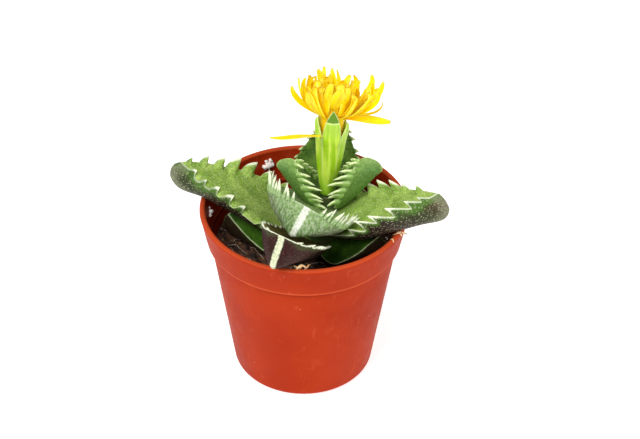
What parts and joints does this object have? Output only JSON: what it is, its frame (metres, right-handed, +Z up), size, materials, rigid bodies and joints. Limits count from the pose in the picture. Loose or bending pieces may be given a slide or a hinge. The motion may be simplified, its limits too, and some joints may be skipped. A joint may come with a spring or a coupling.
{
  "type": "potted tiger jaws",
  "caption": "Stemless succulent with thick, boat-shaped, toothed leaves in crossed pairs and one daisy-like yellow flower, standing in a small tapered plastic nursery pot with a rim band.",
  "frame": {"origin": "centre of the pot's underside, on the surface that it stands on", "axes": "+Z up along the pot's axis; +X to the right and -Y towards the viewer, with the front leaf towards -Y and the two longest leaves near -X and +X"},
  "size_m": [0.0853, 0.068, 0.104],
  "materials": {
    "pot": "satin terracotta-coloured plastic",
    "soil": "damp dark potting soil",
    "leaf": "matt, finely dotted succulent skin",
    "calyx": "smooth pale green sepals",
    "petal": "satin yellow petals"
  },
  "bodies": {
    "root": {"pot": "pot", "soil": "soil", "rosette": "leaf", "calyx": "calyx", "corolla": "petal"}
  },
  "joints": []
}
